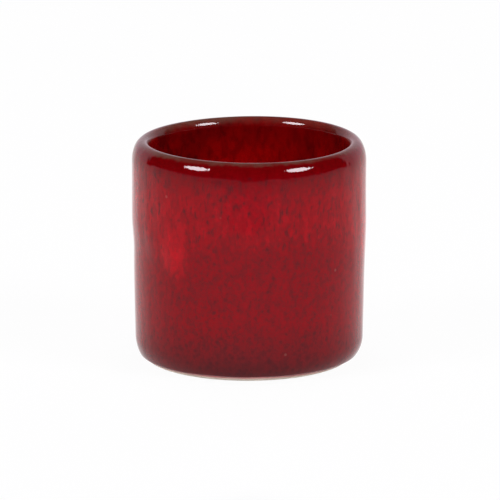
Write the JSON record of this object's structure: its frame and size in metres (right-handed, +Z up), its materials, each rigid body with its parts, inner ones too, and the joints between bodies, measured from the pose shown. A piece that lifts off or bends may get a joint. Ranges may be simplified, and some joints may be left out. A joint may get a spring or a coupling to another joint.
{
  "type": "sauce dish",
  "caption": "Small straight-sided round stoneware cup for sauces and dips, with a rolled lip, a bare foot ring and a runny, speckled red glaze.",
  "frame": {"origin": "middle of the foot ring, on the table", "axes": "+Z up along the axis of the cup; the front, as pictured, faces -Y, with +X to its right"},
  "size_m": [0.06, 0.06, 0.0577],
  "materials": {
    "bare_stoneware": "bare, fine-grained fired clay",
    "liner_glaze": "glossy deep red",
    "outer_glaze": "glossy dark red with fine dark specks",
    "second_dip_glaze": "glossy bright red with brown runs, brown where it thins on the lip",
    "foot_well_glaze": "glossy dark red"
  },
  "bodies": {
    "root": {"stoneware_cup": "bare_stoneware", "liner_glaze": "liner_glaze", "outer_glaze": "outer_glaze", "second_dip_glaze": "second_dip_glaze", "foot_well_glaze": "foot_well_glaze"}
  },
  "joints": []
}
